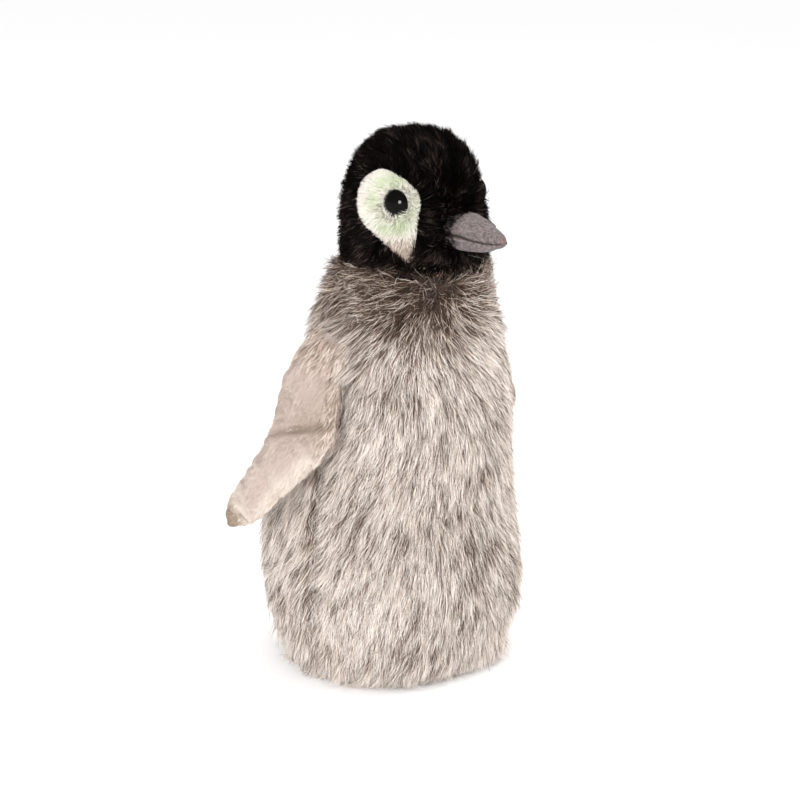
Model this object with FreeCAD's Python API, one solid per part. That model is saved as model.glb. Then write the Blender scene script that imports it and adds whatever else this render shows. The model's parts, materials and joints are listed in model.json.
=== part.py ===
import FreeCAD, Part
import math
import os

# Plush penguin chick, standing. Millimetres, +Z up, facing -Y.
# The origin is the middle of the flat underside, on the floor.

V = FreeCAD.Vector

# ---- driving dimensions ------------------------------------------------
NECK_Z = 180.0
BODY_PILE = 7.0            # long-pile plush lying down, with its backing
HEAD_PILE = 5.0            # short-pile plush, with its backing
SIDE_SEAM_Y = -8.0         # the front and back body panels meet here
FAR = 400.0                # half size of the cutting boxes

# Body surface: height, half width across, half depth front to back, centre offset along Y
BODY_STATIONS = [
    (0.0, 42.5, 41.0, -1.5),
    (11.0, 50.5, 49.5, -2.0),
    (28.0, 56.3, 55.3, -1.6),
    (50.0, 57.8, 57.0, -0.5),
    (75.0, 55.0, 54.0, -1.0),
    (100.0, 51.0, 50.5, -3.5),
    (125.0, 46.8, 46.5, -7.0),
    (150.0, 41.4, 42.0, -10.0),
    (NECK_Z, 33.2, 33.2, -13.2),
]
BASE_PANEL_THICK = 3.0

# Head surface: radius and height in the head's own upright frame, from the neck to the crown
HEAD_PROFILE = [
    (30.4, -14.0),
    (30.8, -2.0),
    (31.4, 14.0),
    (31.0, 25.0),
    (28.9, 35.0),
    (25.6, 43.5),
    (20.8, 50.2),
    (12.5, 55.2),
    (0.0, 57.0),
]
HEAD_ROUND_Z = 34.0        # above this the skin's inside follows the crown down
HEAD_BASE = V(0.0, -15.0, NECK_Z)
HEAD_LEAN_DEG = -1.5       # lean of the head's own axis, forwards when positive
FACE_Y = -15.5             # the eyes and their patches are laid out from this point on the centre plane
CROWN_WIDTH = 20.0
CHIN_WIDTH = 32.0
CHIN_TOP_Z = 195.5
CHIN_BACK_Y = -17.0

# Beak: distance along -Y, half width, half height, centre height
BEAK_STATIONS = [
    (38.0, 9.4, 8.6, 197.4),
    (47.0, 8.6, 7.9, 197.0),
    (54.0, 7.2, 6.9, 196.5),
    (60.0, 5.2, 5.2, 195.7),
    (63.5, 3.2, 3.2, 195.0),
]
BEAK_TIP_Y = -65.6
BEAK_TIP_Z = 194.6
BEAK_CLOTH = 1.2
MOUTH_Z = 196.0            # height of the mouth seam

# Eyes, on a horizontal line turned out from straight ahead
EYE_TURN_DEG = 64.0
EYE_Z = 208.8
EYE_DOME_R = 6.0
EYE_DOME_PROUD = 3.6
EYE_DOME_SUNK = 1.4
EYE_STEM_R = 1.5
EYE_STEM_LENGTH = 14.0
WASHER_R = 6.5
WASHER_THICK = 1.6

# Teardrop eye patch, seen along its own outward line: across (towards the beak), above the eye
PATCH_TURN_DEG = 68.0
PATCH_OUTLINE = [
    (-4.7, 13.6),
    (-11.0, 11.2),
    (-15.2, 6.0),
    (-15.8, -1.4),
    (-13.0, -7.0),
    (-7.0, -10.6),
    (-1.0, -15.0),
    (4.9, -19.5),
    (9.2, -22.6),
    (10.4, -15.0),
    (11.4, -5.0),
    (12.4, 1.7),
    (8.6, 7.2),
    (1.3, 11.6),
]

# Flipper: distance from the shoulder seam, half width, half thickness, curve towards the back
FLIPPER_STATIONS = [
    (0.0, 10.5, 2.6, 0.0),
    (12.0, 14.0, 3.8, -0.2),
    (23.0, 17.2, 4.8, -3.2),
    (34.0, 17.8, 5.0, -6.8),
    (45.0, 15.8, 4.7, -7.8),
    (57.0, 13.4, 4.3, -5.6),
    (68.0, 11.6, 3.9, -2.6),
    (78.0, 10.4, 3.3, -0.2),
    (85.5, 8.0, 2.6, 2.0),
    (89.5, 4.8, 1.8, 3.4),
]
FLIPPER_LENGTH = 92.0
FLIPPER_SKIN = 1.6
SHOULDER = V(-45.2, -11.0, 151.0)
FLIPPER_TIP = V(-76.0, 20.0, 65.0)
FLIPPER_FACE_DEG = 8.0     # the outer face is turned this far forwards

# Weighted bag in the bottom of the filling
BAG_R = 33.0
BAG_HALF_HEIGHT = 13.0
BAG_Z = 22.0
BAG_CLOTH = 1.2


# ---- shared helpers ----------------------------------------------------
def half_space(axis, sign, at):
    """Everything on one side of the plane axis = at."""
    box = Part.makeBox(2 * FAR, 2 * FAR, 2 * FAR, V(-FAR, -FAR, -FAR))
    move = [0.0, 0.0, 0.0]
    move[axis] = at + sign * FAR
    box.translate(V(*move))
    return box


def slab(axis, low, high):
    """Everything between two planes across one axis."""
    return half_space(axis, 1, low).common(half_space(axis, -1, high))


def oval(centre, along, across, half_along, half_across):
    """A closed elliptical wire; all of them start at the same side, so a loft doesn't twist."""
    points = []
    for step in range(24):
        turn = 2 * math.pi * step / 24
        points.append(centre + along * (half_along * math.cos(turn)) + across * (half_across * math.sin(turn)))
    curve = Part.BSplineCurve()
    curve.interpolate(points, PeriodicFlag=True)
    return Part.Wire([curve.toShape()])


def loft(wires):
    return Part.makeLoft(wires, True, False)


def mirrored(shape):
    """The same piece on the bird's other side."""
    return shape.mirror(V(0, 0, 0), V(1, 0, 0))


def one_solid(shape):
    """The single closed solid in a boolean's result."""
    solids = sorted(shape.Solids, key=lambda s: s.Volume)
    return solids[-1]


# ---- body --------------------------------------------------------------
def body_form(inset):
    """The body's filled shape, its surface moved in by inset."""
    wires = []
    for z, half_x, half_y, centre_y in BODY_STATIONS:
        wires.append(oval(V(0, centre_y, z), V(1, 0, 0), V(0, 1, 0), half_x - inset, half_y - inset))
    return loft(wires)


def body_panels(outer, inner):
    skin = outer.cut(inner)
    front = skin.common(half_space(1, -1, SIDE_SEAM_Y))
    back = skin.common(half_space(1, 1, SIDE_SEAM_Y))
    return {
        "body_front_panel": front,
        "body_back_panel_left": back.common(half_space(0, 1, 0.0)),
        "body_back_panel_right": back.common(half_space(0, -1, 0.0)),
    }


def weight_bag(inset):
    """A flattened round bag."""
    ball = Part.makeSphere(1.0)
    flat = FreeCAD.Matrix()
    flat.scale(BAG_R - inset, BAG_R - inset, BAG_HALF_HEIGHT - inset)
    bag = ball.transformGeometry(flat)
    bag.translate(V(0, -1.0, BAG_Z))
    return bag


def body_pieces():
    outer = body_form(0.0)
    inner = body_form(BODY_PILE)
    pieces = body_panels(outer, inner)
    pieces["base_panel"] = inner.common(half_space(2, -1, BASE_PANEL_THICK))
    bag = weight_bag(0.0)
    pellets = weight_bag(BAG_CLOTH)
    pieces["body_stuffing"] = inner.common(half_space(2, 1, BASE_PANEL_THICK)).cut(bag)
    pieces["pellet_bag"] = bag.cut(pellets)
    pieces["pellets"] = pellets
    return pieces


# ---- head --------------------------------------------------------------
def head_form(inset):
    """The head's filled shape above the neck seam, its surface moved in by inset."""
    crown_z = HEAD_PROFILE[-1][1]
    points = []
    for radius, z in HEAD_PROFILE:
        drop = inset * z / crown_z if z > HEAD_ROUND_Z else 0.0
        points.append(V(max(radius - inset, 0.0), 0, z - drop))
    curve = Part.BSplineCurve()
    curve.interpolate(points, FinalTangent=V(-1, 0, 0), InitialTangent=V(0, 0, 1))
    bottom = V(0, 0, points[0].z)
    edges = [curve.toShape(), Part.makeLine(points[-1], bottom), Part.makeLine(bottom, points[0])]
    head = Part.Face(Part.Wire(edges)).revolve(V(0, 0, 0), V(0, 0, 1), 360)
    head.rotate(V(0, 0, 0), V(1, 0, 0), HEAD_LEAN_DEG)
    head.translate(HEAD_BASE)
    return head.common(half_space(2, 1, NECK_Z))


def outward(turn_deg):
    """Horizontal direction on the bird's right, turned out from straight ahead (-Y)."""
    turn = math.radians(turn_deg)
    return V(-math.sin(turn), -math.cos(turn), 0)


def patch_prism():
    """The right eye patch's outline as a block reaching in from outside the head."""
    out = outward(PATCH_TURN_DEG)
    towards_beak = V(0, 0, 1).cross(out)
    start = V(0, FACE_Y, EYE_Z) + out * 8.0
    points = [start + towards_beak * h + V(0, 0, up) for h, up in PATCH_OUTLINE]
    curve = Part.BSplineCurve()
    curve.interpolate(points, PeriodicFlag=True)
    return Part.Face(Part.Wire([curve.toShape()])).extrude(out * 60.0)


def surface_point(form, start, direction):
    """Where a line from inside a form leaves its surface."""
    line = Part.makeLine(start, start + direction * 100.0)
    inside = line.common(form)
    return max((vertex.Point for vertex in inside.Vertexes), key=lambda p: p.distanceToPoint(start))


def eye_on_head(outer):
    """The right safety eye: a dome, a rim sunk in the pile, and a stem into the head."""
    out = outward(EYE_TURN_DEG)
    start = V(0, FACE_Y, EYE_Z)
    seat = surface_point(outer, start, out) - out * EYE_DOME_SUNK
    rise = EYE_DOME_PROUD
    ball_r = (EYE_DOME_R ** 2 + rise ** 2) / (2 * rise)
    ball = Part.makeSphere(ball_r, seat + out * (rise - ball_r))
    column = Part.makeCylinder(EYE_DOME_R, rise + 1.0, seat, out)
    dome = ball.common(column)
    rim = Part.makeCylinder(EYE_DOME_R, 1.0, seat - out * 1.0, out)
    stem = Part.makeCylinder(EYE_STEM_R, EYE_STEM_LENGTH, seat - out * EYE_STEM_LENGTH, out)
    return dome.fuse(rim).fuse(stem).removeSplitter(), seat, out


def washer(seat, out):
    """The lock washer pushed up the stem against the inside of the plush."""
    face = seat - out * (HEAD_PILE + WASHER_THICK)
    disc = Part.makeCylinder(WASHER_R, WASHER_THICK, face, out)
    return disc.cut(Part.makeCylinder(EYE_STEM_R, WASHER_THICK, face, out))


def head_pieces(outer, inner):
    skin = outer.cut(inner)
    chin_zone = slab(0, -CHIN_WIDTH / 2, CHIN_WIDTH / 2)
    chin_zone = chin_zone.common(half_space(1, -1, CHIN_BACK_Y)).common(half_space(2, -1, CHIN_TOP_Z))
    crown_zone = slab(0, -CROWN_WIDTH / 2, CROWN_WIDTH / 2)
    crown_front = crown_zone.common(half_space(1, -1, CHIN_BACK_Y)).common(half_space(2, 1, CHIN_TOP_Z))
    crown_zone = crown_front.fuse(crown_zone.common(half_space(1, 1, CHIN_BACK_Y)))
    side = skin.cut(chin_zone).cut(crown_zone).common(half_space(0, -1, 0.0))
    prism = patch_prism()
    eye, seat, out = eye_on_head(outer)
    ring = washer(seat, out)
    patch = skin.common(prism).cut(eye).cut(ring)
    side = side.cut(prism)
    filling = inner.cut(eye).cut(ring).cut(mirrored(eye)).cut(mirrored(ring))
    return {
        "head_crown_gusset": skin.common(crown_zone),
        "head_chin_panel": skin.common(chin_zone),
        "head_side_right": side,
        "head_side_left": mirrored(side),
        "eye_patch_right": patch,
        "eye_patch_left": mirrored(patch),
        "eye_right": eye,
        "eye_left": mirrored(eye),
        "eye_washer_right": ring,
        "eye_washer_left": mirrored(ring),
        "head_stuffing": filling,
    }


# ---- beak --------------------------------------------------------------
def beak_form(inset):
    wires = []
    for reach, half_x, half_z, z in BEAK_STATIONS:
        centre = V(0, -reach + inset, z)
        wires.append(oval(centre, V(1, 0, 0), V(0, 0, 1), half_x - inset, half_z - inset))
    if inset == 0.0:
        wires.append(Part.Vertex(0, BEAK_TIP_Y, BEAK_TIP_Z))
    return loft(wires)


def beak_pieces(head):
    outer = beak_form(0.0).cut(head)
    filling = beak_form(BEAK_CLOTH).cut(head)
    cloth = outer.cut(filling)
    return {
        "beak_upper": cloth.common(half_space(2, 1, MOUTH_Z)),
        "beak_lower": cloth.common(half_space(2, -1, MOUTH_Z)),
        "beak_stuffing": filling,
    }


# ---- flippers ----------------------------------------------------------
def flipper_frame():
    """Directions of the right flipper: down its length, across it to the back edge, and outwards."""
    down = (FLIPPER_TIP - SHOULDER).normalize()
    back = (V(0, 1, 0) - down * V(0, 1, 0).dot(down)).normalize()
    back = FreeCAD.Rotation(down, -FLIPPER_FACE_DEG).multVec(back)
    out = down.cross(back).normalize()
    if out.x > 0:
        out = out * -1.0
    return down, back, out


def flipper_form(inset):
    down, back, out = flipper_frame()
    wires = []
    for reach, half_w, half_t, sweep in FLIPPER_STATIONS:
        along = min(max(reach, inset), FLIPPER_STATIONS[-1][0] - inset)
        centre = SHOULDER + down * along + back * sweep
        wires.append(oval(centre, back, out, half_w - inset, max(half_t - inset, 0.5)))
    if inset == 0.0:
        tip = SHOULDER + down * FLIPPER_LENGTH + back * FLIPPER_STATIONS[-1][3]
        wires.append(Part.Vertex(tip))
    return loft(wires)


def flipper_root(inset):
    """The rounded edge that turns about the shoulder seam."""
    down, back, out = flipper_frame()
    half = FLIPPER_STATIONS[0][1] - 1.5 - inset
    return Part.makeCylinder(FLIPPER_STATIONS[0][2] - inset, 2 * half, SHOULDER - back * half, back)


def flipper_pieces():
    down, back, out = flipper_frame()
    outer = flipper_form(0.0).fuse(flipper_root(0.0))
    inner = flipper_form(FLIPPER_SKIN)
    cloth = outer.cut(inner)
    block = Part.makeBox(2 * FAR, 2 * FAR, FAR, V(-FAR, -FAR, 0))
    block.Placement = FreeCAD.Placement(SHOULDER, FreeCAD.Rotation(V(0, 0, 1), out)).multiply(block.Placement)
    right = {
        "flipper_right_outer_skin": cloth.common(block),
        "flipper_right_inner_skin": cloth.cut(block),
        "flipper_right_batting": inner,
    }
    left = {name.replace("right", "left"): mirrored(shape) for name, shape in right.items()}
    return {**right, **left}


# ---- write -------------------------------------------------------------
def main():
    os.makedirs("parts", exist_ok=True)
    pieces = body_pieces()
    head_outer = head_form(0.0)
    head_inner = head_form(HEAD_PILE)
    pieces.update(head_pieces(head_outer, head_inner))
    pieces.update(beak_pieces(head_outer))
    pieces.update(flipper_pieces())
    for name, shape in pieces.items():
        shape = one_solid(shape)
        print(name, len(shape.Faces), round(shape.Volume), shape.isValid())
        shape.exportStep("parts/" + name + ".step")


main()
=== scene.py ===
import json
import math
import bpy
import numpy as np
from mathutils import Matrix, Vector
from mathutils.bvhtree import BVHTree
from mathutils.kdtree import KDTree


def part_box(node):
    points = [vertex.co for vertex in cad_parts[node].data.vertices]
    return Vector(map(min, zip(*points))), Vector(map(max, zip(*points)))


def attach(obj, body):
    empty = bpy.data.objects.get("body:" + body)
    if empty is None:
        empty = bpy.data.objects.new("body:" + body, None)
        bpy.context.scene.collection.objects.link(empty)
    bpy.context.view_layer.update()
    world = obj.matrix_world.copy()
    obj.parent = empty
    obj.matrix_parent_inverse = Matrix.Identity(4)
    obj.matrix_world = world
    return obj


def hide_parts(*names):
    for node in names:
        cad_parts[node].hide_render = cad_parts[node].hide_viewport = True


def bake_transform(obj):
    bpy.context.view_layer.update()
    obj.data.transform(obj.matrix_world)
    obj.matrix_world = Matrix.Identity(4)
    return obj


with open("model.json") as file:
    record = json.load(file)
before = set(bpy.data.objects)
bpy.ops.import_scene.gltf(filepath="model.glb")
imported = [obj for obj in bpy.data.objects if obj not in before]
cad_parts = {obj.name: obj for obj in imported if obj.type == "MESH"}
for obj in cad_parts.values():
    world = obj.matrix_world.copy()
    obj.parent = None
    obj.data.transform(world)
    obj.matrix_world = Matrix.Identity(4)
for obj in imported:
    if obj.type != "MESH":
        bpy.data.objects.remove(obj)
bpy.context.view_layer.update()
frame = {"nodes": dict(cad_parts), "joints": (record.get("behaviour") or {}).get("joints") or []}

MM = 0.001
UV_MAP = "OFBake"

# ---- the object's own lines, in millimetres ----
NECK_Z = 180.0
SEAM_Y = -8.0                  # side seams of the body
PARTING = np.array([-16.0, -43.0, 173.0])    # the long pile falls away from this spot on the breast
HEAD_CENTRE = np.array([0.0, -14.6, 205.0])
NECK_MIDDLE = np.array([0.0, -15.0])
NECK_R = 30.2
BEAK_ROOT = np.array([0.0, -44.5, 196.6])
EYE_TURN = math.radians(64.0)
EYE_Z = 208.8
FACE_MIDDLE = np.array([0.0, -15.5, EYE_Z])    # the eyes and their patches are laid out from here
EYE_R = 6.0
EYE_RISE = 3.6
EYE_SINK = 1.3                 # how far it is pulled into the pile
EYE_TILT = math.radians(16.0)  # its dome looks a little further back than where it sits
EYE_EDGE = 5.9                 # the white pile's roots start this far from an eye's middle
EYE_BARE = 7.5                 # and the black pile's this far, if they aren't behind the patch
SPRAY_R, SPRAY_WIDTH = 8.8, 2.2    # the green ring sprayed round it
PATCH_TURN = math.radians(68.0)
PATCH_OUTLINE = np.array([
    (-4.4, 11.6), (-10.0, 9.5), (-13.7, 4.9), (-14.2, -1.5), (-11.6, -7.2), (-6.4, -11.2), (-0.9, -15.6),
    (4.6, -19.9), (8.7, -23.0), (9.3, -15.2), (9.9, -6.0), (10.6, 0.6), (7.4, 5.7), (1.1, 9.8)])
SHOULDER = np.array([-45.2, -11.0, 151.0])
FLIPPER_TIP = np.array([-76.0, 20.0, 65.0])
BODY_BACKING = 6.1             # how deep the backing cloth lies under the laid pile of the body
HEAD_BACKING = 4.4
LONG_PILE_WIDTH = (0.12, 0.25)


# ---- small maths ----
def lengths(vectors):
    return np.linalg.norm(vectors, axis=-1)


def unit(v):
    v = np.asarray(v, float)
    return v / np.maximum(np.linalg.norm(v, axis=-1, keepdims=True), 1e-9)


def smooth(x, low, high):
    """0 below low, 1 above high, easing between."""
    t = np.clip((np.asarray(x, float) - low) / (high - low), 0, 1)
    return t * t * (3 - 2 * t)


def hump(x, middle, width):
    """1 at middle, easing to 0 over about width on either side."""
    return np.exp(-((x - middle) / width) ** 2)


def full_turn(count):
    return np.linspace(0, 2 * math.pi, count, endpoint=False)


def points_of(x, y, z):
    """Points from coordinates that together span a grid."""
    return np.stack(np.broadcast_arrays(x, y, z), -1).reshape(-1, 3)


def waves(points, scale, seed, count=7):
    """Soft seeded noise from -1 to 1 over lengths of about scale."""
    rng = np.random.default_rng(seed)
    total = np.zeros(len(points))
    for _ in range(count):
        way = unit(rng.normal(size=3)) * (2 * math.pi / scale) * rng.uniform(0.6, 1.5)
        total += np.cos(points @ way + rng.uniform(0, 2 * math.pi))
    return total / math.sqrt(count)


def waves3(points, scale, seed):
    """Three fields of soft noise as vectors."""
    return np.stack([waves(points, scale, seed + k) for k in range(3)], -1)


def on_side(vector, side):
    """A vector given for the bird's right (side -1), as it is on the given side."""
    return vector * np.array([-side, 1, 1])


def scatter(rng, count, size):
    """Random vectors of about the given size."""
    return rng.normal(scale=size, size=(count, 3))


def tangent_part(vectors, normals):
    return unit(vectors - normals * (vectors * normals).sum(-1, keepdims=True))


# ---- meshes ----
def linked(name, data):
    """An object that holds the data, in the scene."""
    obj = bpy.data.objects.new(name, data)
    bpy.context.scene.collection.objects.link(obj)
    return obj


def new_object(name, points, faces, material=None, middle=None, uv=None):
    """An object from points in mm and faces of one kind, turned to face away from middle."""
    points = np.asarray(points).reshape(-1, 3)
    faces = np.asarray(faces, np.int32)
    if middle is not None:
        a, b, c = (points[faces[:, i]] for i in (0, 1, 2))
        if (np.cross(b - a, c - a) * (a - middle)).sum() < 0:
            faces = faces[:, ::-1]
    mesh = bpy.data.meshes.new(name)
    mesh.vertices.add(len(points))
    mesh.vertices.foreach_set("co", (points * MM).astype(np.float32).ravel())
    mesh.loops.add(faces.size)
    mesh.loops.foreach_set("vertex_index", faces.ravel())
    mesh.polygons.add(len(faces))
    mesh.polygons.foreach_set("loop_start", np.arange(0, faces.size, faces.shape[1], dtype=np.int32))
    mesh.update(calc_edges=True)
    mesh.polygons.foreach_set("use_smooth", np.ones(len(faces), bool))
    if uv is not None:
        layer = mesh.uv_layers.new(name=UV_MAP)
        layer.data.foreach_set("uv", np.asarray(uv, np.float32).ravel())
    if material is not None:
        mesh.materials.append(material)
    return linked(name, mesh)


def grid_faces(rows, cols, wrap=False, first=0, count=None):
    """Quads of a rows by cols grid of points, or only those of count columns from column first on."""
    count = count or (cols if wrap else cols - 1)
    r = np.arange(rows - 1)[:, None] * cols
    c = (np.arange(count)[None, :] + first) % cols
    d = (c + 1) % cols
    return np.stack([r + c, r + d, r + cols + d, r + cols + c], -1).reshape(-1, 4)


SIM_SCALE = 10.0               # small pads are simulated this much larger, so that the cloth stays stable
SIM_FRAMES = 20


def swell(points, faces, pins, pressure, cap):
    """Pads a closed skin: cloth that swells under pressure from inside, held where pins is above 0."""
    obj = new_object("swelling", points * SIM_SCALE, faces, None, points.mean(0) * SIM_SCALE)
    group = obj.vertex_groups.new(name="held")
    for i in np.flatnonzero(pins > 0):
        group.add([int(i)], float(pins[i]), "REPLACE")
    modifier = obj.modifiers.new("swell", "CLOTH")
    cloth = modifier.settings
    cloth.vertex_group_mass = "held"
    cloth.use_pressure = True
    cloth.uniform_pressure_force = pressure
    cloth.effector_weights.gravity = 0
    cloth.mass = 0.1
    cloth.quality = 6
    cloth.shrink_min = -0.05
    modifier.collision_settings.use_collision = False
    modifier.point_cache.frame_end = SIM_FRAMES
    for k in range(1, SIM_FRAMES + 1):
        bpy.context.scene.frame_set(k)
    mesh = obj.evaluated_get(bpy.context.evaluated_depsgraph_get()).data
    move = mesh_points(mesh) / SIM_SCALE - points
    far = np.linalg.norm(move, axis=1, keepdims=True)
    bpy.data.objects.remove(obj)
    bpy.context.scene.frame_set(1)
    return points + move * np.minimum(1, cap / np.maximum(far, 1e-6))


def half_object(name, points, rows, cols, first, material):
    """Half of a wrapped grid, from column first on, as an object of its own."""
    faces = grid_faces(rows, cols, True, first, cols // 2)
    used, faces = np.unique(faces, return_inverse=True)
    return new_object(name, points[used], faces.reshape(-1, 4), material, points.mean(0))


def mesh_points(mesh):
    """A mesh's points, in mm."""
    co = np.empty(len(mesh.vertices) * 3)
    mesh.vertices.foreach_get("co", co)
    return co.reshape(-1, 3) / MM


def join_meshes(meshes):
    """The points, in mm, and the triangles of several meshes together."""
    points, triangles, base = [], [], 0
    for mesh in meshes:
        mesh.calc_loop_triangles()
        tri = np.empty(len(mesh.loop_triangles) * 3, np.int32)
        mesh.loop_triangles.foreach_get("vertices", tri)
        points.append(mesh_points(mesh))
        triangles.append(tri.reshape(-1, 3) + base)
        base += len(mesh.vertices)
    return np.vstack(points), np.vstack(triangles)


def cad_tree(*names):
    """Search tree over the surfaces of CAD nodes, in mm."""
    points, triangles = join_meshes(frame["nodes"][name].data for name in names)
    return BVHTree.FromPolygons(points.tolist(), triangles.tolist())


def cast_in(tree, centres, ways, reach=200.0):
    """Where lines coming from outside, towards centres along -ways, first meet the tree."""
    out = np.empty_like(centres)
    for i, (c, w) in enumerate(zip(centres, ways)):
        hit = tree.ray_cast(Vector(c + w * reach), Vector(-w))[0]
        out[i] = c if hit is None else hit
    return out


class Surface:
    """A triangle surface that strands root in and follow."""

    def __init__(self, *objects):
        self.co, self.tri = join_meshes(obj.data for obj in objects)
        a, b, c = (self.co[self.tri[:, i]] for i in range(3))
        cross = np.cross(b - a, c - a)
        self.area = lengths(cross) / 2
        self.normal = np.zeros_like(self.co)
        for i in range(3):
            np.add.at(self.normal, self.tri[:, i], cross)
        self.normal = unit(self.normal)
        self.tree = BVHTree.FromPolygons(self.co.tolist(), self.tri.tolist())

    def roots(self, count, rng):
        """Points spread evenly over the surface, with their normals."""
        pick = rng.choice(len(self.tri), count, p=self.area / self.area.sum())
        u, v = rng.random((2, count))
        over = u + v > 1
        u[over], v[over] = 1 - u[over], 1 - v[over]
        w = np.stack([1 - u - v, u, v], -1)[..., None]
        tri = self.tri[pick]
        return (self.co[tri] * w).sum(1), unit((self.normal[tri] * w).sum(1))

    def nearest(self, points):
        """The nearest surface points and their normals."""
        at, normal = np.empty_like(points), np.empty_like(points)
        for i, p in enumerate(points):
            spot, _, face, _ = self.tree.find_nearest(Vector(p))
            at[i] = spot
            normal[i] = self.normal[self.tri[face]].mean(0)
        return at, unit(normal)


# ---- materials ----
def feed(tree, socket, value):
    """Links a socket to another one, or sets it to a number, a vector or a colour."""
    if isinstance(value, bpy.types.NodeSocket):
        tree.links.new(value, socket)
    elif socket.type == "RGBA":
        socket.default_value = (*value, 1)
    else:
        socket.default_value = value


def add_node(tree, kind, inputs):
    """A shader node with its inputs fed, each by its name or number."""
    node = tree.nodes.new("ShaderNode" + kind)
    for key, value in inputs.items():
        feed(tree, node.inputs[key], value)
    return node


def new_material(name, roughness=0.8, specular=0.3, sheen=0.0):
    material = bpy.data.materials.new(name)
    material.use_nodes = True
    tree = material.node_tree
    shader = tree.nodes["Principled BSDF"]
    finish = {"Roughness": roughness, "Specular IOR Level": specular, "Sheen Weight": sheen}
    for key, value in {**finish, "Sheen Roughness": 0.5}.items():
        feed(tree, shader.inputs[key], value)
    return material, tree, shader.inputs


def add_ramp(tree, source, stops):
    """A colour ramp with stops of (place, red, green, blue)."""
    ramp = add_node(tree, "ValToRGB", {0: source})
    elements = ramp.color_ramp.elements
    while len(elements) < len(stops):
        elements.new(0.5)
    for element, (at, *colour) in zip(elements, stops):
        element.position = at
        element.color = (*colour, 1)
    return ramp.outputs[0]


def add_mix(tree, kind, factor, a, b):
    """A colour mix; factor, a and b are sockets or constants."""
    mix = tree.nodes.new("ShaderNodeMix")
    mix.data_type = "RGBA"
    mix.blend_type = kind
    for number, value in ((0, factor), (6, a), (7, b)):
        feed(tree, mix.inputs[number], value)
    return mix.outputs[2]


def coordinates(tree, kind="Object"):
    return tree.nodes.new("ShaderNodeTexCoord").outputs[kind]


def add_noise(tree, scale, detail=4.0, stretch=(1, 1, 1)):
    mapping = add_node(tree, "Mapping", {"Vector": coordinates(tree), "Scale": stretch})
    noise = add_node(tree, "TexNoise", {"Vector": mapping.outputs[0], "Scale": scale, "Detail": detail})
    return noise.outputs[0]


def add_bump(tree, inputs, height, strength, distance):
    bump = add_node(tree, "Bump", {"Height": height, "Strength": strength, "Distance": distance})
    feed(tree, inputs["Normal"], bump.outputs[0])


def strand_material(name, across, along, **finish):
    """Fibre colour: across gives each strand its own shade; along darkens it towards its root, partly its
    own tone, partly painted shade.
    """
    material, tree, inputs = new_material(name, **finish)
    where = tree.nodes.new("ShaderNodeUVMap")
    where.uv_map = UV_MAP
    split = add_node(tree, "SeparateXYZ", {0: where.outputs[0]})
    shade = add_ramp(tree, split.outputs[0], across)
    root_tone_and_shade = add_ramp(tree, split.outputs[1], along)
    feed(tree, inputs["Base Color"], add_mix(tree, "MULTIPLY", 1.0, shade, root_tone_and_shade))
    return material


def cloth_material(name, dark, pale, weave=2500.0, **finish):
    """Brushed or woven cloth: two colours mottled at two scales, with a fine raised grain."""
    material, tree, inputs = new_material(name, **finish)
    grain = add_noise(tree, weave, 2.0)
    both = add_mix(tree, "OVERLAY", 0.7, add_noise(tree, 90.0), grain)
    feed(tree, inputs["Base Color"], add_ramp(tree, both, [(0.3, *dark), (0.7, *pale)]))
    add_bump(tree, inputs, grain, 0.3, 0.0004)
    return material


# ---- strands ----
def grow(surface, roots, normals, rng, comb, length, lift, clump, clump_mm, frizz, steps=3, sink=0.3,
         bow=1.7, area=None):
    """Strand curves of steps + 1 points that follow the surface along comb and lift away from it.
    They gather in tufts about clump_mm wide; area is the surface the roots cover, if not all of it."""
    count = len(roots)
    t = np.linspace(0, 1, steps + 1)
    along = t ** 1.3
    rise = 1 - (1 - t) ** bow
    curves = np.empty((count, steps + 1, 3))
    ups = np.empty_like(curves)
    spot, up = roots, normals
    way = tangent_part(comb, normals)
    for i in range(steps + 1):
        if i:
            spot = spot + way * (length * (along[i] - along[i - 1]))[:, None]
            spot, up = surface.nearest(spot)
            way = tangent_part(way + 0.25 * comb, up)
        curves[:, i] = spot + up * (lift * rise[i] - sink)[:, None]
        ups[:, i] = up
    area = area or surface.area.sum()
    guides = rng.choice(count, max(8, int(area / clump_mm ** 2)))
    finder = KDTree(len(guides))
    for k, g in enumerate(guides):
        finder.insert(Vector(roots[g]), k)
    finder.balance()
    jitter = roots + rng.normal(scale=clump_mm * 0.22, size=roots.shape)
    nearest = guides[[finder.find(Vector(p))[1] for p in jitter]]
    pull = clump * rng.uniform(0.5, 1.0, count)[:, None] * (t ** 1.4)[None, :]
    curves += (curves[nearest] - curves) * pull[..., None]
    loose = np.broadcast_to(frizz, count)[:, None]
    bend = rng.normal(size=(count, 3)) * loose
    wave = rng.normal(size=(count, 3)) * loose * 0.5
    phase = rng.uniform(0, 2 * math.pi, count)[:, None]
    curves += bend[:, None] * (t ** 1.6)[None, :, None]
    curves += wave[:, None] * (np.sin(phase + 5.0 * t[None]) * t[None])[..., None]
    return curves, ups


def planted(surface, count, seed, wanted=None):
    """Roots spread evenly over a surface, their normals and the generator that spread them.
    Only those that wanted(roots, generator) picks are kept."""
    rng = np.random.default_rng(seed)
    roots, normals = surface.roots(count, rng)
    if wanted is not None:
        keep = wanted(roots, rng)
        roots, normals = roots[keep], normals[keep]
    return roots, normals, rng


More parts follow.
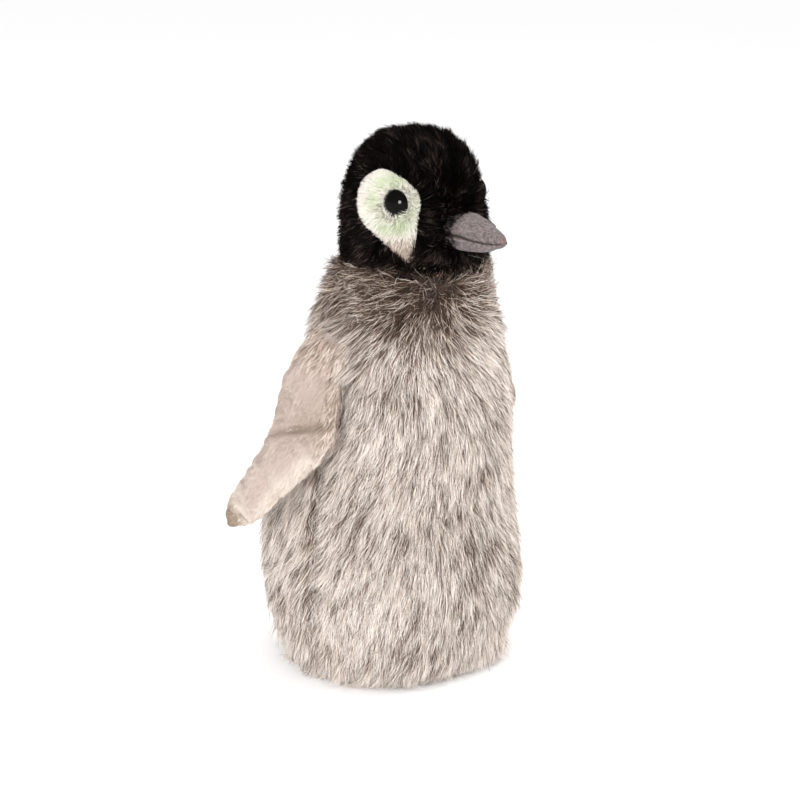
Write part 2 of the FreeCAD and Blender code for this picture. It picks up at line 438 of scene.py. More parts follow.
def strand_object(name, curves, ups, width, shade, material, rng, roll=0.6):
    """Flat tapering strands, each a strip that ends in a point."""
    count, points = curves.shape[:2]
    ahead = unit(np.gradient(curves, axis=1))
    side = unit(np.cross(ahead, ups))
    over = np.cross(side, ahead)
    turn = rng.normal(scale=roll, size=count)[:, None, None]
    side = side * np.cos(turn) + over * np.sin(turn)
    rings = points - 1
    t = np.repeat(np.linspace(0, 1, points)[:-1], 2)
    edge = np.tile([-1.0, 1.0], rings)
    half = width[:, None] * 0.5 * (1 - 0.45 * t ** 2) * edge
    co = np.repeat(curves, 2, axis=1)[:, :-1]
    co[:, :-1] += np.repeat(side[:, :-1], 2, axis=1) * half[..., None]
    ring = np.arange(0, 2 * rings - 2, 2)[:, None]
    strip = np.hstack([ring + (0, 1, 3), ring + (0, 3, 2)]).reshape(-1, 3)
    faces = np.vstack([strip, [2 * rings - 2, 2 * rings - 1, 2 * rings]])
    u = np.clip(shade, 0.01, 0.99)[:, None] + 0.004 * np.append(edge, 0)
    v = np.clip(np.append(t, 1), 0.01, 0.99)
    at = faces.ravel()
    uv = np.stack([u[:, at], np.broadcast_to(v[at], (count, len(at)))], -1)
    every = faces[None] + (np.arange(count) * (2 * rings + 1))[:, None, None]
    return new_object(name, co, every.reshape(-1, 3), material, uv=uv)


# ---- the flipper's own frame ----
DOWN = unit(FLIPPER_TIP - SHOULDER)
RIGHT_JOINT = next(j for j in frame["joints"] if j["child"] == "flipper_right")
BACK = unit(RIGHT_JOINT["axis"])
OUT = np.cross(DOWN, BACK)
OUT = OUT if OUT[0] < 0 else -OUT
FLIPPER_AT = np.array([-2.6, -1.6, 0.0, 12.0, 23.0, 34.0, 45.0, 57.0, 68.0, 78.0, 85.5, 89.5, 91.6])
FLIPPER_HALF_W = np.array([9.4, 10.1, 10.5, 14.0, 17.2, 17.8, 15.8, 13.4, 11.6, 10.4, 8.0, 4.8, 1.4])
FLIPPER_HALF_T = np.array([0.5, 1.9, 2.6, 3.8, 4.8, 5.0, 4.7, 4.3, 3.9, 3.3, 2.6, 1.8, 0.6])
FLIPPER_SWEEP = np.array([0.0, 0.0, 0.0, -0.2, -3.2, -6.8, -7.8, -5.6, -2.6, -0.2, 2.0, 3.4, 3.8])


def flipper_local(points, side):
    """Distance down the flipper, across it to the back edge, and out from its middle."""
    p = on_side(points, side) - SHOULDER
    return p @ DOWN, p @ BACK, p @ OUT


def flipper_point(s, w, t, side):
    return on_side(SHOULDER + s[..., None] * DOWN + w[..., None] * BACK + t[..., None] * OUT, side)


def flipper_relative(s, w):
    """Where a point is across the flipper: -1 at its front edge, 1 at its back edge."""
    return (w - np.interp(s, FLIPPER_AT, FLIPPER_SWEEP)) / np.interp(s, FLIPPER_AT, FLIPPER_HALF_W)


# ---- body ----
body_tree = cad_tree("body_front_panel", "body_back_panel_left", "body_back_panel_right")


def body_skin(name, first, last, cols, material):
    """A panel of the body's backing cloth between two angles round the upright line x = 0, y = SEAM_Y."""
    rows = 84
    z = np.concatenate([np.linspace(1.0, NECK_Z - 1.0, rows - 4), NECK_Z - np.array([0.6, 0.4, 0.3, 0.2])])
    turn = np.linspace(first, last, cols)
    zz, tt = np.meshgrid(z, turn, indexing="ij")
    ways = points_of(np.cos(tt), np.sin(tt), 0.0)
    surface = cast_in(body_tree, points_of(0.0, SEAM_Y, zz), ways)
    edge = np.minimum(tt - first, last - tt).ravel() * 45.0
    seam = 0.9 * hump(edge, 0, 2.5)
    lumps = 0.7 * waves(surface, 38.0, 11) + 0.25 * waves(surface, 14.0, 12)
    inset = BODY_BACKING - np.clip(lumps, -0.6, 1.2) * smooth(zz.ravel(), 0, 12) + seam
    points = (surface - ways * inset[:, None]).reshape(rows, cols, 3)
    for k, (rise, pull) in enumerate(((0.5, 0.93), (1.0, 0.8), (1.2, 0.6), (1.3, 0.4))):
        middle = np.array([0, SEAM_Y - 3.5])
        points[rows - 4 + k, :, :2] = middle + (points[-5, :, :2] - middle) * pull
        points[rows - 4 + k, :, 2] = points[-5, :, 2] + rise
    return new_object(name, points, grid_faces(rows, cols), material, np.array([0, SEAM_Y, 90.0]))


def body_comb(points):
    """The long pile falls, and spreads away from the parting high on the breast."""
    x, y, z = points.T
    down = np.tile([0.0, 0.0, -1.0], (len(points), 1))
    around = unit(np.stack([-(y - SEAM_Y), x, np.zeros_like(x)], -1))
    gap = lengths(points - PARTING)
    fan = (1 - smooth(gap, 10, 95))[:, None]
    near = smooth(z, 138, 172)
    swirl = 0.12 * waves(points, 60.0, 21) + (0.10 + 0.36 * near) * waves(points, 11.0, 22)
    toss = waves3(points, 7.0, 23) * (0.07 + 0.38 * near)[:, None]
    collar = (smooth(x, -12, 18) * smooth(z, 152, 174))[:, None] * np.array([0.5, -0.2, 1.3])
    backwards = 0.27 * np.tanh(x / 18.0) * smooth(-y, -45, 0)
    sideways = around * (swirl + backwards * (1 - fan[:, 0]))[:, None]
    return down * (1 - 0.7 * fan) + unit(points - PARTING) * fan * 0.9 + sideways + toss + collar


STREAK = np.array([1.6, 1.6, 0.5])    # tufts and shades are longer down the body than across it


def body_shade(points, rng):
    """Each hair is pale or dark; the dark ones crowd towards the neck and the parting."""
    z = points[:, 2]
    gap = lengths(points - PARTING)
    neck = smooth(z, 146, 172) * (1 - 0.45 * smooth(points[:, 0], -12, 20))
    hem = 1 - smooth(z, 6, 22)
    dark = np.interp(z, [0, 12, 40, 110, 140], [0.03, 0.12, 0.40, 0.31, 0.31]) + 0.36 * neck
    streaks = waves(points * STREAK, 6.0, 32) + 0.6 * waves(points * STREAK, 3.0, 34)
    shoulder = np.minimum(*(lengths(points - on_side(SHOULDER, side)) for side in (-1, 1)))
    dark += 0.15 * hump(gap, 0, 16.0) - 0.25 * hump(shoulder, 0, 13.0)
    dark += 0.10 * waves(points, 26.0, 31) + 0.20 * streaks
    dark -= 0.12 * smooth(points[:, 0], 5, 45) + 0.06 * smooth(-points[:, 0], 30, 55)
    pale = 0.94 - 0.26 * neck + 0.05 * hem + 0.05 * waves(points, 20.0, 33)
    shade = np.where(rng.random(len(points)) < dark, 0.14 - 0.12 * neck, pale)
    return shade + rng.normal(scale=0.09, size=len(points))


def flipper_cover(s, w):
    """Half the flipper's thickness at each point, and how surely the point is within its outline."""
    rel = flipper_relative(s, w)
    thick = np.interp(s, FLIPPER_AT, FLIPPER_HALF_T) * np.sqrt(np.clip(1 - rel ** 2, 0, 1))
    return thick, 1 - smooth(np.abs(rel), 1.0, 1.25)


def tuck_under_flippers(curves):
    """Keeps the torso's strands on the body's side of both flippers."""
    for side in (-1, 1):
        s, w, t = flipper_local(curves.reshape(-1, 3), side)
        thick, inside = flipper_cover(s, w)
        near = (inside > 0) & (s > -3) & (s < FLIPPER_AT[-1] + 2) & (np.abs(t) < 14)
        t = np.where(near, np.minimum(t, -thick - 0.8), t)
        curves = flipper_point(s, w, t, side).reshape(curves.shape)
    return curves


def drape_shoulder(curves, side):
    """Lays strands that grow above a flipper over its thickness."""
    s, w, t = flipper_local(curves.reshape(-1, 3), side)
    thick, inside = flipper_cover(np.maximum(s, 0.0), w)
    top = thick + 0.7 - 0.8 * np.clip(-1.0 - s, 0, 20)
    ease = np.tile(np.linspace(0, 1, curves.shape[1]) ** 0.7, len(curves))
    t = t + np.maximum(top - t, 0) * ease * inside * (s > -14)
    return flipper_point(s, w, t, side).reshape(curves.shape)


def over_shoulder(roots, side):
    """Which roots lie just above a flipper, so that their strands hang over its seam."""
    s, w, t = flipper_local(roots, side)
    return (s > -16) & (s < -0.5) & (np.abs(w) < 14) & (np.abs(t) < 20)


def settle_on_floor(curves, floor=0.4, soft=2.0):
    """Strands that would pass the floor spread out along it instead."""
    z = curves[..., 2]
    over = np.log1p(np.exp(np.clip((z - floor) / soft, -30, 30))) * soft + floor
    out = unit(curves[..., :2] - np.array([0.0, -1.0]))
    curves[..., :2] += out * np.clip(over - z, 0, 6)[..., None] * 0.35
    curves[..., 2] = np.where(z > floor + 12, z, over)
    return curves


LONGEST_STEP = 9.0


def without_jumps(curves, longest):
    """Which strands stay on one surface: none of their steps is longer than longest."""
    return lengths(np.diff(curves, axis=1)).max(1) < longest


def long_fur(name, roots, normals, rng, area, material, lay, hang=None):
    """The body's long pile: it lies in tufts, curlier at the neck, with wild hairs that stand off it.
    lay(curves) lays the grown strands down; hang is the way they hang, if not the body's own."""
    n = len(roots)
    z = roots[:, 2]
    neck = smooth(z, 145, 172)
    wild = rng.random(n) < 0.10 + 0.08 * neck
    ragged = 0.17 + 0.18 * (1 - smooth(z, 12, 40))
    tuft = 1 + ragged * waves(roots * STREAK, 8.0, 26)
    length = np.interp(z, [0, 15, 60, 120, 160, 180], [10, 13.5, 14, 13.5, 12, 10.5])
    length = length * rng.uniform(0.6, 1.15, n)
    lift = np.interp(z, [0, 12, 26, 60, 150, 180], [11.0, 9.5, 7.4, 7.0, 7.0, 7.2])
    lift = lift * rng.uniform(0.45, 1.12, n) * tuft
    lift = np.where(wild, lift + rng.uniform(0.8, 3.6, n), lift)
    stray = np.where(wild, 0.45, 0.12 + 0.28 * neck)
    comb = body_comb(roots) + rng.normal(size=(n, 3)) * stray[:, None]
    if hang is not None:
        comb = 0.35 * comb + hang
        length = length * 1.35
    curves, ups = grow(body_surface, roots, normals, rng, comb, length, lift, clump=0.66, clump_mm=1.9,
                       frizz=0.18 + 0.44 * neck, bow=1.4, area=area)
    sound = without_jumps(curves, LONGEST_STEP)
    curves, ups, roots = lay(curves[sound]), ups[sound], roots[sound]
    width = rng.uniform(*LONG_PILE_WIDTH, len(roots))
    return strand_object(name, curves, ups, width, body_shade(roots, rng), material, rng)


def clear_of_shoulders(roots, _):
    return (roots[:, 2] < NECK_Z - 0.5) & ~over_shoulder(roots, -1) & ~over_shoulder(roots, 1)


def body_fur(name, panel, count, seed, material):
    roots, normals, rng = planted(panel, count, seed, clear_of_shoulders)
    return long_fur(name, roots, normals, rng, panel.area.sum(), material,
                    lambda curves: settle_on_floor(tuck_under_flippers(curves)))


def shoulder_fur(name, side, panel, count, seed, material):
    """Long pile from the body that hangs over the seam where a flipper joins it."""
    roots, normals, rng = planted(panel, count, seed, lambda at, _: over_shoulder(at, side))
    area = panel.area.sum() * len(roots) / count
    return long_fur(name, roots, normals, rng, area, material,
                    lambda curves: drape_shoulder(curves, side), on_side(DOWN, side))


# ---- head ----
head_tree = cad_tree("head_side_left", "head_side_right", "head_crown_gusset", "head_chin_panel",
                     "eye_patch_left", "eye_patch_right")


def head_surface(ways):
    """Points of the head's outer surface in the given directions from its centre.
    Below the neck seam it runs on as a short upright tube, closed across its end inside the body."""
    centres = np.tile(HEAD_CENTRE, (len(ways), 1))
    out = cast_in(head_tree, centres, ways)
    flat = ways[:, :2]
    rel = HEAD_CENTRE[:2] - NECK_MIDDLE
    a = np.maximum((flat ** 2).sum(1), 1e-9)
    b = flat @ rel
    reach = (-b + np.sqrt(b * b - a * (rel @ rel - NECK_R ** 2))) / a
    tube = HEAD_CENTRE + ways * reach[:, None]
    end = (HEAD_CENTRE[2] - NECK_Z + 7.0) / np.maximum(-ways[:, 2], 1e-6)
    closed = HEAD_CENTRE + ways * end[:, None]
    low = (tube[:, 2] < NECK_Z + 3.0) & (ways[:, 2] < 0)
    out[low] = np.where((reach < end)[:, None], tube, closed)[low]
    return out


def head_skin(name, first, last, start, stop, material, rows, cols):
    """A strip of the head between two latitudes off the middle plane and two turns over the crown."""
    lat = np.linspace(first, last, rows)
    turn = np.linspace(start, stop, cols)
    aa, tt = np.meshgrid(lat, turn, indexing="ij")
    ways = points_of(np.sin(aa), -np.cos(aa) * np.cos(tt), np.cos(aa) * np.sin(tt))
    surface = head_surface(ways)
    lumps = 0.3 * waves(surface, 20.0, 41)
    points = surface - ways * (HEAD_BACKING - lumps)[:, None]
    return new_object(name, points, grid_faces(rows, cols), material, HEAD_CENTRE)


def outward(turn, side):
    return np.array([side * math.sin(turn), -math.cos(turn), 0.0])


def to_beak(turn, side):
    """The level direction towards the beak, square to the outward one."""
    return np.array([-side * math.cos(turn), -math.sin(turn), 0.0])


def outline_curve(count):
    """The eye patch's outline as a smooth closed line."""
    s = np.arange(count) * len(PATCH_OUTLINE) / count
    i = s.astype(int)
    f = (s - i)[:, None]
    a, b, c, d = (np.roll(PATCH_OUTLINE, -j, 0)[i] for j in (-1, 0, 1, 2))
    bend = (2 * a - 5 * b + 4 * c - d) * f ** 2 + (3 * b - a - 3 * c + d) * f ** 3
    return 0.5 * (2 * b + (c - a) * f + bend)


PATCH_LINE = outline_curve(72)


def inside_patch(points, side):
    """Which points lie behind an eye patch, seen along its outward line."""
    rel = points - FACE_MIDDLE
    across, up = (rel @ to_beak(PATCH_TURN, side))[:, None], rel[:, 2, None]
    (ax, ay), (bx, by) = PATCH_LINE.T, np.roll(PATCH_LINE, -1, 0).T
    crosses = (ay > up) != (by > up)
    at = (bx - ax) * (up - ay) / (by - ay + 1e-12) + ax
    return (np.sum(crosses & (across < at), 1) % 2 == 1) & (rel @ outward(PATCH_TURN, side) > 5.0)


def patch_skin(name, side, tree, material):
    """The white eye patch, laid over the head's backing with its edge turned in."""
    rings = 16
    out = outward(PATCH_TURN, side)
    middle = PATCH_LINE.mean(0)
    rho = np.linspace(0.02, 1.0, rings)
    flat = middle + rho[:, None, None] * (PATCH_LINE - middle)[None]
    start = FACE_MIDDLE + flat[..., :1] * to_beak(PATCH_TURN, side)
    start = (start + flat[..., 1:] * np.array([0, 0, 1.0])).reshape(-1, 3)
    hits = cast_in(tree, start, np.tile(out, (len(start), 1)), 80.0)
    height = 0.7 * (1 - np.repeat(rho, len(PATCH_LINE)) ** 8) - 0.15
    points = hits + out * height[:, None]
    return new_object(name, points, grid_faces(rings, len(PATCH_LINE), wrap=True), material, HEAD_CENTRE)


def head_comb(points):
    """Short pile brushed back from the beak and down the cheeks and nape."""
    away = unit(points - BEAK_ROOT)
    back = smooth(points[:, 1], -40, -5)[:, None]
    side = smooth(np.abs(points[:, 0]), 8, 28)[:, None]
    low = 1 - smooth(points[:, 2], 205, 232)[:, None]
    comb = away + np.array([0, 0.3, 0]) * back + np.array([0, 0, -0.9]) * (side * 0.6 + back * 0.5) * low
    for side_seat in eye_seat.values():
        middle = side_seat + np.array([0, 0, -2.0])
        from_eye = points - middle
        near = 1 - smooth(lengths(from_eye * np.array([1, 1, 0.72])), 13, 19)
        comb = comb * (1 - 0.8 * near[:, None]) + unit(from_eye) * 1.2 * near[:, None]
    return comb + 0.45 * waves3(points, 9.0, 51)


def eye_distance(points):
    """Distance in mm from the nearer eye's middle."""
    return np.minimum(*(lengths(points - seat) for seat in eye_seat.values()))


def beak_distance(points):
    """1 on the oval from which the beak stands, more outside it."""
    rel = points - BEAK_ROOT
    return (rel[:, 0] / 7.0) ** 2 + (rel[:, 2] / 6.8) ** 2


def in_black(roots, rng):
    """Which roots are clear of the neck, the beak and the eyes, and of the patches' fuzzy edges."""
    loose = roots + rng.normal(scale=0.5, size=roots.shape)
    face = inside_patch(loose, -1) | inside_patch(loose, 1) | (eye_distance(roots) <= EYE_BARE)
    return (roots[:, 2] > NECK_Z + 1.0) & (beak_distance(roots) > 1) & ~face


def head_fur(name, panel, surface, count, seed, material):
    """Short black pile, standing up round the beak's root."""
    roots, normals, rng = planted(panel, count, seed, in_black)
    n = len(roots)
    brow = (1 - smooth(roots[:, 1], -42, -34)) * (1 - smooth(np.abs(roots[:, 0]), 8, 16))
    brow = brow * smooth(roots[:, 2], 197, 203) * (1 - smooth(roots[:, 2], 212, 224))
    wild = rng.random(n) < 0.24
    length = rng.uniform(2.4, 5.0, n) * (1 - 0.5 * brow)
    ring = 1 - smooth(beak_distance(roots), 1.2, 2.6)
    ring = ring * (roots[:, 1] < -38) * (roots[:, 2] > BEAK_ROOT[2] - 5)
    lift = rng.uniform(2.8, 5.6, n) + 2.0 * np.maximum(brow, ring)
    lift = lift + np.where(wild, rng.uniform(0.5, 2.2, n), 0)
    comb = head_comb(roots) + scatter(rng, n, 0.25)
    comb = comb * (1 - 0.8 * ring[:, None])
    length = length * (1 - 0.5 * ring)
    curves, ups = grow(surface, roots, normals, rng, comb, length, lift, clump=0.68, clump_mm=2.0,
                       frizz=0.45, sink=0.2, area=panel.area.sum())
    # Brownish tips, more of them low on the head: partly real brown hairs, partly painted highlight on the
    # black pile.
    shade = 0.34 + 0.16 * (1 - smooth(roots[:, 2], 192, 222)) + 0.18 * waves(roots, 10.0, 61)
    shade = shade + rng.normal(scale=0.26, size=n)
    width = rng.uniform(0.18, 0.32, n)
    sound = without_jumps(curves, LONGEST_STEP / 2)
    return strand_object(name, curves[sound], ups[sound], width[sound], shade[sound], material, rng, 0.9)


def patch_fur(name, side, surface, count, seed, material):
    """White pile brushed outwards from the eye; its sprayed ring is set by distance from the eye."""
    seat = eye_seat[side]
    roots, normals, rng = planted(surface, count, seed, lambda at, _: eye_distance(at) > EYE_EDGE)
    away = eye_distance(roots)
    n = len(roots)
    radial = unit(roots - seat)
    front = to_beak(EYE_TURN, side)
    lid = smooth(radial @ front, 0.2, 0.9) * (1 - smooth(away, 7.0, 8.8))
    comb = 0.9 * radial + np.array([0, 0.45, -0.30]) + scatter(rng, n, 0.32)
    comb = comb * (1 - lid[:, None]) - (front * 1.2 + scatter(rng, n, 0.3)) * lid[:, None]
    length = rng.uniform(2.2, 4.9, n) * np.interp(away, [5, 10], [0.7, 1.0]) * (1 - 0.15 * lid)
    lift = rng.uniform(2.0, 3.6, n) * np.interp(away, [5, 9], [0.75, 1.0]) * (1 - lid)
    lift = lift + rng.uniform(4.0, 5.8, n) * lid
    over_rim = (rng.random(n) < 0.5) & (away < 7.2)
    comb = np.where(over_rim[:, None], scatter(rng, n, 0.25) - radial, comb)
    length = np.where(over_rim, rng.uniform(0.9, 1.8, n), length)
    lift = np.where(over_rim, rng.uniform(3.4, 4.7, n), lift)
    curves, ups = grow(surface, roots, normals, rng, comb, length, lift, clump=0.3, clump_mm=1.2,
                       frizz=0.3, sink=0.2)
    ring = hump(away, SPRAY_R, SPRAY_WIDTH)
    patchy = 0.42 + 0.3 * waves(roots, 7.0, 71)
    shade = np.minimum(ring * patchy + rng.normal(scale=0.05, size=n), 0.62)
    tail = 0.9 * smooth(EYE_Z - roots[:, 2], 8, 19) + 0.12 * smooth(away, 12, 16)
    shade = np.where(rng.random(n) < tail, 0.98, shade)
    width = rng.uniform(0.25, 0.4, n) * (1 - 0.4 * np.maximum(lid, over_rim))
    return strand_object(name, curves, ups, width, shade, material, rng, roll=0.8)


# ---- eyes and beak ----
def eye_place(side):
    """The plane that a CAD eye's dome rises from."""
    points = mesh_points(frame["nodes"]["eye_left" if side > 0 else "eye_right"].data)
    out = outward(EYE_TURN, side)
    return FACE_MIDDLE + out * (((points - FACE_MIDDLE) @ out).max() - EYE_RISE)


eye_seat = {side: eye_place(side) for side in (-1, 1)}


def eye(name, side, material, around=48):
    """A turned dome with a rolled rim on a stem; its profile is (radius, height along its axis) in mm."""
    ball = (EYE_R ** 2 + EYE_RISE ** 2) / (2 * EYE_RISE)
    top = math.asin((EYE_R - 0.25) / ball)
    dome = [(ball * math.sin(a), EYE_RISE - ball + ball * math.cos(a)) for a in np.linspace(top, 0.0, 20)]
    rim = [(1.5, -6.0), (1.5, -1.1), (5.4, -1.1), (5.85, -0.9), (EYE_R, -0.5), (EYE_R, -0.1), (5.95, 0.1)]
    profile = np.array(rim + dome)
    axis = outward(EYE_TURN + EYE_TILT, side)
    u = unit(np.cross(axis, [0, 0, 1.0]))
    v = np.cross(axis, u)
    turn = full_turn(around)
    ring = np.cos(turn)[:, None] * u + np.sin(turn)[:, None] * v
    origin = eye_seat[side] - axis * EYE_SINK
    points = origin + profile[:, None, :1] * ring[None] + profile[:, None, 1:] * axis
    faces = grid_faces(len(profile), around, wrap=True)
    return new_object(name, points, faces, material, origin - axis * 3.0)


BEAK_AT = np.array([36.0, 42.0, 48.0, 55.0, 60.0, 63.5, 65.2, 65.8, 66.0])
BEAK_HALF_W = np.array([9.2, 9.0, 8.5, 7.1, 5.4, 3.9, 2.6, 1.4, 0.05])
BEAK_TOP = np.array([205.0, 204.7, 204.2, 203.2, 200.5, 198.3, 196.8, 195.6, 194.25])
BEAK_SEAM = np.array([196.6, 196.2, 195.6, 194.6, 193.9, 193.7, 193.9, 194.1, 194.2])
BEAK_BOTTOM = np.array([188.4, 188.6, 188.9, 189.4, 190.0, 190.9, 191.9, 192.9, 194.15])
BEAK_ROWS, BEAK_COLS = 40, 48
STITCHES = 30                  # along each side of the mouth


def beak_form():
    """The beak's closed skin, held at its mouth seam while it swells."""
    reach = BEAK_AT[-1] - (BEAK_AT[-1] - BEAK_AT[0]) * np.linspace(1, 0, BEAK_ROWS) ** 1.5
    lines = (BEAK_HALF_W, BEAK_TOP, BEAK_SEAM, BEAK_BOTTOM)
    half_w, top, seam, bottom = (np.interp(reach, BEAK_AT, line) for line in lines)
    turn = full_turn(BEAK_COLS)
    up = np.sin(turn)[None]
    height = np.where(up > 0, (top - seam)[:, None], (seam - bottom)[:, None])
    pinch = 1 - 0.09 * hump(up, 0, 0.16)
    x = half_w[:, None] * np.cos(turn)[None] * pinch
    z = seam[:, None] + height * np.sign(up) * np.abs(up) ** 0.88 * 0.94
    points = points_of(x, -reach[:, None], z)
    pins = np.zeros((BEAK_ROWS, BEAK_COLS))
    pins[[0, -1]] = 1
    pins[:, [0, BEAK_COLS // 2]] = 1
    faces = grid_faces(BEAK_ROWS, BEAK_COLS, wrap=True)
    return swell(points, faces, pins.ravel(), pressure=1.5, cap=0.8)


def mouth_stitches(points, material):
    """The dark line along both sides of the mouth, crossed by a row of short slanting stitches."""
    grid = points.reshape(BEAK_ROWS, BEAK_COLS, 3)
    spots, faces = [], []
    for column, side in ((0, 1), (BEAK_COLS // 2, -1)):
        line = grid[4:-1, column]
        along = np.concatenate([[0.0], np.cumsum(lengths(np.diff(line, axis=0)))])
        out = np.array([side * 1.0, 0, 0])
        for s in np.linspace(0, along[-1] - 0.8, STITCHES):
            i = np.searchsorted(along, s, side="right") - 1
            way = unit(line[i + 1] - line[i])
            at = line[i] + way * (s - along[i])
            across = unit(np.cross(way, out) + 0.55 * way)
            width = unit(np.cross(across, out))
            faces += (grid_faces(4, 2) + len(spots)).tolist()
            for a, lift in ((-0.9, 0.1), (-0.4, 0.42), (0.4, 0.42), (0.9, 0.1)):
                spots += [at + across * a + width * b + out * lift for b in (-0.2, 0.2)]
        faces += (grid_faces(len(line), 2) + len(spots)).tolist()
        for at in line:
            spots += [at + np.array([side * 0.12, 0, up]) for up in (-0.34, 0.34)]
    return new_object("mouth_stitches", spots, faces, material)


# ---- flippers ----
FLIPPER_ROWS, FLIPPER_COLS = 66, 52
CREASE_AT, CREASE_SLANT = 38.0, 11.0    # where the elbow's crease crosses the middle, and how far it slants


def flipper_form():
    """A flipper's closed skin in its own frame, swollen either side of the crease at its elbow."""
    s = np.linspace(FLIPPER_AT[0], FLIPPER_AT[-1], FLIPPER_ROWS)
    lines = [np.interp(s, FLIPPER_AT, v) for v in (FLIPPER_HALF_W, FLIPPER_HALF_T, FLIPPER_SWEEP)]
    for line in lines:
        for _ in range(3):
            line[2:-1] = (line[1:-2] + 2 * line[2:-1] + line[3:]) / 4
    half_w, half_t, sweep = lines
    turn = full_turn(FLIPPER_COLS)
    across, puff = np.cos(turn)[None], np.sin(turn)[None]
    ww = across * (half_w[:, None] - 0.9) + sweep[:, None]
    tt = np.sign(puff) * np.abs(puff) ** 0.8 * half_t[:, None] * 0.62
    crease = hump(s[:, None] - CREASE_AT - CREASE_SLANT * across, 0, 2.2) * (puff > 0)
    tt = tt * (1 - 0.75 * crease)
    pins = np.zeros((FLIPPER_ROWS, FLIPPER_COLS))
    pins[:2] = 1
    pins[-1] = 1
    pins[:, [0, FLIPPER_COLS // 2]] = 1
    pins = np.maximum(pins, 0.9 * (crease > 0.6))
    points = points_of(s[:, None], ww, tt)
    faces = grid_faces(FLIPPER_ROWS, FLIPPER_COLS, wrap=True)
    return swell(points, faces, pins.ravel(), pressure=3.0, cap=3.0)


def flipper_skins(points, name, material):
    """The outer and inner skins of one flipper."""
    return {face: half_object(f"{name}_{face}_backing", points, FLIPPER_ROWS, FLIPPER_COLS, first, material)
            for face, first in (("outer", 0), ("inner", FLIPPER_COLS // 2))}


def padding(form, rows, cols, name, material, shrink=0.8):
    """The filling just inside a swollen skin."""
    grid = form.reshape(rows, cols, 3)
    middle = grid.mean(1, keepdims=True)
    inner = (middle + (grid - middle) * shrink)[2:-2].reshape(-1, 3)
    return new_object(name, inner, grid_faces(rows - 4, cols, wrap=True), material, inner.mean(0))


def flipper_shade(s, w, outer, points, rng):
    """Pinkish beige, cream along the forearm's front edge, darkened by painted shade in the elbow's crease,
    and tan at the tip.
    """
    rel = flipper_relative(s, w)
    cream = smooth(-rel, 0.25, 0.8) * smooth(s, 34, 46) * (1 - smooth(s, 72, 86))
    # Painted shade: on the outer face the pile is darkened along the elbow's crease line. A broader band
    # just above the line is also darkened; it is partly darker tan and partly painted shade.
    below = s - CREASE_AT - CREASE_SLANT * rel
    fold = 0.8 * hump(below, -4, 8.0) * smooth(-rel, -0.8, 0.3)
    crease = (hump(below, 0, 3.0) + fold) * outer
    tip = smooth(s + 5 * rel, 72, 90)
    shade = 0.28 + 0.34 * cream - 0.22 * crease + (0.0 if outer else 0.2)
    shade = shade * (1 - tip) + 0.90 * tip
    return shade + 0.05 * waves(points, 12.0, 94) + rng.normal(scale=0.05, size=len(s))


def flipper_fur(name, side, panel, surface, count, seed, material, outer):
    """Short pile that lies down the flipper."""
    roots, normals, rng = planted(panel, count, seed)
    n = len(roots)
    comb = on_side(DOWN, side) + 0.12 * waves3(roots, 16.0, 91) + scatter(rng, n, 0.10)
    length, lift = rng.uniform(1.5, 2.6, n), rng.uniform(0.5, 1.1, n)
    curves, ups = grow(surface, roots, normals, rng, comb, length, lift, clump=0.3, clump_mm=1.4,
                       frizz=0.08, steps=2, sink=0.15)
    s, w, _ = flipper_local(roots, side)
    shade = flipper_shade(s, w, outer, roots, rng)
    return strand_object(name, curves, ups, rng.uniform(0.2, 0.3, n), shade, material, rng, roll=0.4)


def flipper_fringe(name, side, surface, count, seed, material):
    """Longer hairs at a flipper's root and along the front edge of its upper part."""
    roots, normals, rng = planted(surface, count, seed)
    s, w, t = flipper_local(roots, side)
    rel = flipper_relative(s, w)
    odds = np.maximum(1 - smooth(s, 3, 15), (1 - smooth(s, 24, 48)) * smooth(-rel, 0.5, 0.95))
    keep = (rng.random(count) < odds) & (t > -1.5)
    roots, normals = roots[keep], normals[keep]
    n = len(roots)
    comb = on_side(DOWN, side) + scatter(rng, n, 0.16)
    lean = rng.uniform(-0.6, 0.3, n) * smooth(-rel[keep], 0.4, 0.9)
    comb = comb + lean[:, None] * on_side(BACK, side)
    length, lift = rng.uniform(5, 9, n), rng.uniform(1.2, 2.4, n)
    curves, ups = grow(surface, roots, normals, rng, comb, length, lift, clump=0.6, clump_mm=2.2, frizz=0.4)
    shade = np.where(rng.random(n) < 0.2, 0.42, 0.74) + rng.normal(scale=0.08, size=n)
    return strand_object(name, curves, ups, rng.uniform(0.2, 0.34, n), shade, material, rng)


# ---- base ----
def base_cloth(material):
    """The sewn oval that the toy stands on, with a ridge of stitches just inside its edge."""
    low, high = (np.array(v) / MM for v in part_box("base_panel"))
    centre, half = (low + high) / 2, (high - low) / 2
    rings, around = 24, 96
    rho = np.linspace(0.03, 1.0, rings)
    turn = full_turn(around)
    rr, tt = np.meshgrid(rho, turn, indexing="ij")
    x = centre[0] + half[0] * rr * np.cos(tt)
    y = centre[1] + half[1] * rr * np.sin(tt)
    stitches = hump(rr, 0.86, 0.02) * (1 + np.sin(tt * 60)) / 2
    z = 0.35 + 0.5 * smooth(rr, 0.93, 1.0) + 0.25 * stitches
    faces = grid_faces(rings, around, wrap=True)[:, ::-1]
    return new_object("base_cloth", np.stack([x, y, z], -1), faces, material)
